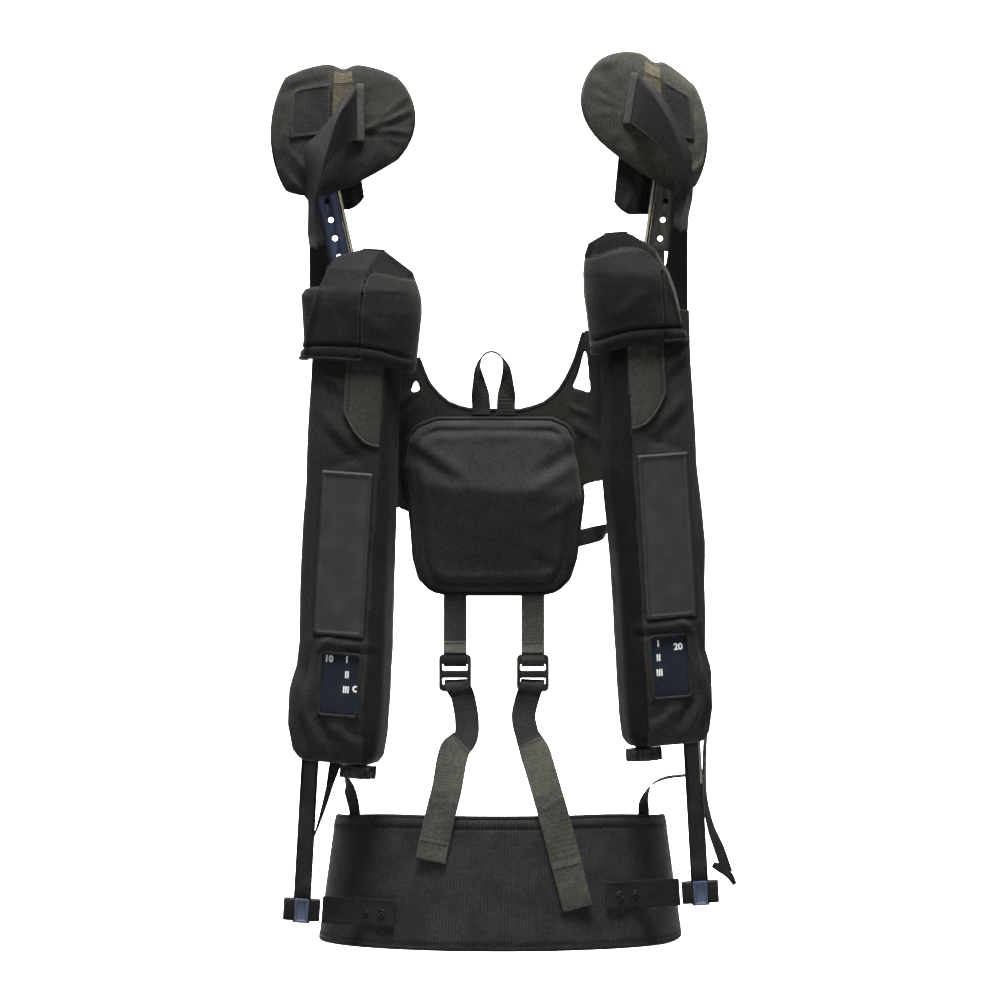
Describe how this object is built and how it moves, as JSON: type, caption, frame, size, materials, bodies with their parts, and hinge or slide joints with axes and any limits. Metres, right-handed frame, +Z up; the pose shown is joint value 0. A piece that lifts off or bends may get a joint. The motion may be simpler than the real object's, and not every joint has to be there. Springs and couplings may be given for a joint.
{
  "type": "shoulder exoskeleton",
  "caption": "Passive shoulder exoskeleton with fabric-covered spring arms, padded arm cuffs on drilled rails, a back panel and a lumbar belt.",
  "frame": {"origin": "middle of the back panel, on the plane that lies against the wearer's back", "axes": "+X to the wearer's right, +Y forward out of the back panel towards the wearer, +Z up"},
  "size_m": [0.4959, 0.2847, 0.9645],
  "materials": {
    "black_cloth": "matt woven",
    "panel_cloth": "matt woven, padded",
    "khaki_webbing": "woven webbing",
    "grey_webbing": "woven webbing",
    "patch_rubber": "satin with a raised border",
    "plate_blue": "printed numerals",
    "black_plastic": "moulded",
    "aluminium": "anodised, edges bare",
    "steel": "satin black"
  },
  "bodies": {
    "harness": {"sleeve_left": "black_cloth", "sleeve_right": "black_cloth", "shoulder_cap_left": "black_cloth", "shoulder_cap_right": "black_cloth", "belt_tab_left": "black_cloth", "belt_tab_right": "black_cloth", "waist_strap_left": "black_cloth", "waist_strap_right": "black_cloth", "shoulder_strap_left": "black_cloth", "shoulder_strap_right": "black_cloth", "strap_webbing_left": "black_cloth", "strap_webbing_right": "black_cloth", "side_strap_left": "black_cloth", "side_strap_right": "black_cloth", "insert_panel_left": "panel_cloth", "insert_panel_right": "panel_cloth", "upper_webbing_left": "grey_webbing", "upper_webbing_right": "grey_webbing", "tail_left": "grey_webbing", "tail_right": "grey_webbing", "label_patch_left": "patch_rubber", "label_patch_right": "patch_rubber", "scale_plate_left": "plate_blue", "scale_plate_right": "plate_blue", "spring_housing_left": "black_plastic", "spring_housing_right": "black_plastic", "belt_clip_left": "black_plastic", "belt_clip_right": "black_plastic", "buckle_left": "black_plastic", "buckle_right": "black_plastic", "hinge_bracket_left": "steel", "hinge_bracket_right": "steel", "side_bar_left": "steel", "side_bar_right": "steel", "yoke": "black_cloth", "back_panel": "panel_cloth", "grab_loop": "grey_webbing", "lumbar_belt": "black_cloth", "waist_clasp": "black_plastic", "bar_strap_left": "black_cloth", "loose_tail_right": "black_cloth"},
    "arm_left": {"cuff_pad_left": "black_cloth", "cuff_webbing_left": "khaki_webbing", "cuff_patch_left": "black_cloth", "cuff_flap_left": "black_cloth", "arm_strap_left": "black_cloth", "arm_rail_left": "aluminium"},
    "arm_right": {"cuff_pad_right": "black_cloth", "cuff_webbing_right": "khaki_webbing", "cuff_patch_right": "black_cloth", "cuff_flap_right": "black_cloth", "arm_strap_right": "black_cloth", "arm_rail_right": "aluminium"},
    "knob_body_left": {"knob_left": "black_plastic"},
    "knob_body_right": {"knob_right": "black_plastic"}
  },
  "joints": [
    {"name": "arm_left_swing", "type": "hinge", "parent": "harness", "child": "arm_left", "pos_m": [-0.157, 0.006, 0.227], "axis": [-1, 0, 0], "range_deg": [0, 130]},
    {"name": "arm_right_swing", "type": "hinge", "parent": "harness", "child": "arm_right", "pos_m": [0.172, 0.006, 0.246], "axis": [-1, 0, 0], "range_deg": [0, 130]},
    {"name": "knob_left_turn", "type": "hinge", "parent": "harness", "child": "knob_body_left", "pos_m": [-0.14553, -0.04837, -0.2779], "axis": [0.0576, 0, 0.9983], "continuous": true},
    {"name": "knob_right_turn", "type": "hinge", "parent": "harness", "child": "knob_body_right", "pos_m": [0.16053, -0.04837, -0.2589], "axis": [-0.0576, 0, 0.9983], "continuous": true}
  ]
}
